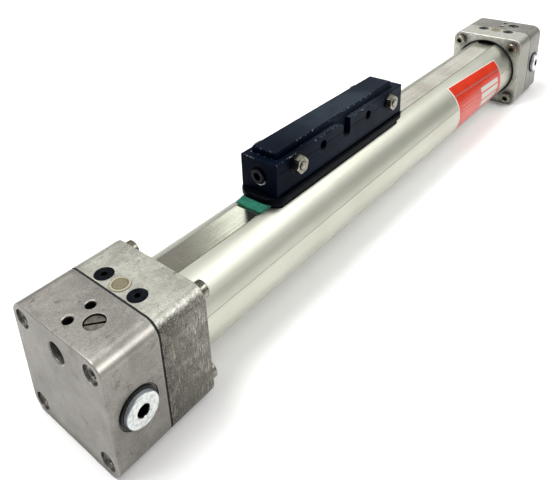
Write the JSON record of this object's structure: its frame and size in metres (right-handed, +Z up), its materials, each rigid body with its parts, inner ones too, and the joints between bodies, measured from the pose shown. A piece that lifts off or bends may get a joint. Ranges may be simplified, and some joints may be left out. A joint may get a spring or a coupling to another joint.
{
  "type": "rodless pneumatic cylinder",
  "caption": "Band-sealed rodless air cylinder: a slotted tube between two square end caps, with a load carriage that slides along the tube.",
  "frame": {"origin": "on the tube axis, in the outer face of the near end cap", "axes": "+X along the tube towards the far end cap, +Z up through the slot and the carriage, +Y away from the plugged side ports"},
  "size_m": [0.5689, 0.0739, 0.0963],
  "materials": {
    "cast_aluminium": "die-cast, vibratory finished, scratched",
    "cast_flange": "die-cast, as cast, rougher and darker",
    "anodised_tube": "satin clear anodised extrusion",
    "black_anodised": "black anodised aluminium, satin",
    "black_gloss": "glossy black moulding",
    "black_rubber": "black rubber",
    "spring_steel": "phosphated spring steel",
    "nickel_steel": "nickel-plated steel",
    "bright_insert": "bright steel thread insert",
    "brass": "turned brass",
    "adjuster_steel": "turned steel, worn",
    "zinc_plate": "bright zinc plating",
    "clamp_steel": "plain steel",
    "black_oxide": "black oxide steel",
    "beige_plastic": "beige plastic",
    "teal_plastic": "teal green plastic",
    "piston_plastic": "glass-filled nylon",
    "label_film": "red and white printed film, blank",
    "guide_plastic": "acetal guide ring",
    "band_steel": "stainless strip, brushed along its length",
    "band_plastic": "reinforced plastic band",
    "yoke_aluminium": "machined aluminium"
  },
  "bodies": {
    "cylinder": {"far_band_clamp": "clamp_steel", "far_band_set_screw": "black_oxide", "far_bumper": "black_rubber", "far_cap_screws": "nickel_steel", "far_clamp_screws": "black_oxide", "far_cushion_tube": "brass", "far_end_cover": "cast_aluminium", "far_flange": "cast_flange", "far_gasket": "black_rubber", "far_port_plug": "zinc_plate", "far_port_seal": "black_rubber", "far_retaining_ring": "spring_steel", "far_thread_inserts": "bright_insert", "far_tube_seal": "black_rubber", "far_vent_plug": "beige_plastic", "inner_band": "band_plastic", "near_band_clamp": "clamp_steel", "near_band_set_screw": "black_oxide", "near_bumper": "black_rubber", "near_cap_screws": "nickel_steel", "near_clamp_screws": "black_oxide", "near_cushion_tube": "brass", "near_end_cover": "cast_aluminium", "near_flange": "cast_flange", "near_gasket": "black_rubber", "near_port_plug": "zinc_plate", "near_port_seal": "black_rubber", "near_retaining_ring": "spring_steel", "near_thread_inserts": "bright_insert", "near_tube_seal": "black_rubber", "near_vent_plug": "beige_plastic", "outer_band": "band_steel", "tube": "anodised_tube"},
    "carriage": {"carriage_body": "black_anodised", "mounting_bar": "black_anodised", "near_end_panel": "black_anodised", "far_end_panel": "black_anodised", "end_panel_screws": "black_oxide", "cross_bolts": "nickel_steel", "cross_nuts": "nickel_steel", "cross_washers": "black_oxide", "dust_cover": "black_gloss", "yoke": "yoke_aluminium", "yoke_screws": "black_oxide", "piston_screws": "black_oxide", "near_wiper": "teal_plastic", "near_piston": "piston_plastic", "near_piston_seal": "black_rubber", "near_guide_ring": "guide_plastic", "near_cushion_seal": "black_rubber", "far_wiper": "teal_plastic", "far_piston": "piston_plastic", "far_piston_seal": "black_rubber", "far_guide_ring": "guide_plastic", "far_cushion_seal": "black_rubber"},
    "near_adjuster": {"near_cushion_adjuster": "adjuster_steel"},
    "far_adjuster": {"far_cushion_adjuster": "adjuster_steel"}
  },
  "joints": [
    {"name": "carriage_slide", "type": "slide", "parent": "cylinder", "child": "carriage", "axis": [1, 0, 0], "range_m": [-0.05955, 0.19045], "deforming": ["outer_band", "inner_band"]},
    {"name": "near_adjuster_turn", "type": "hinge", "parent": "cylinder", "child": "near_adjuster", "pos_m": [0.0153, -0.0109, 0.031], "axis": [0, 0, 1], "range_deg": [-540, 540]},
    {"name": "far_adjuster_turn", "type": "hinge", "parent": "cylinder", "child": "far_adjuster", "pos_m": [0.5536, -0.0109, 0.031], "axis": [0, 0, 1], "range_deg": [-540, 540]}
  ]
}
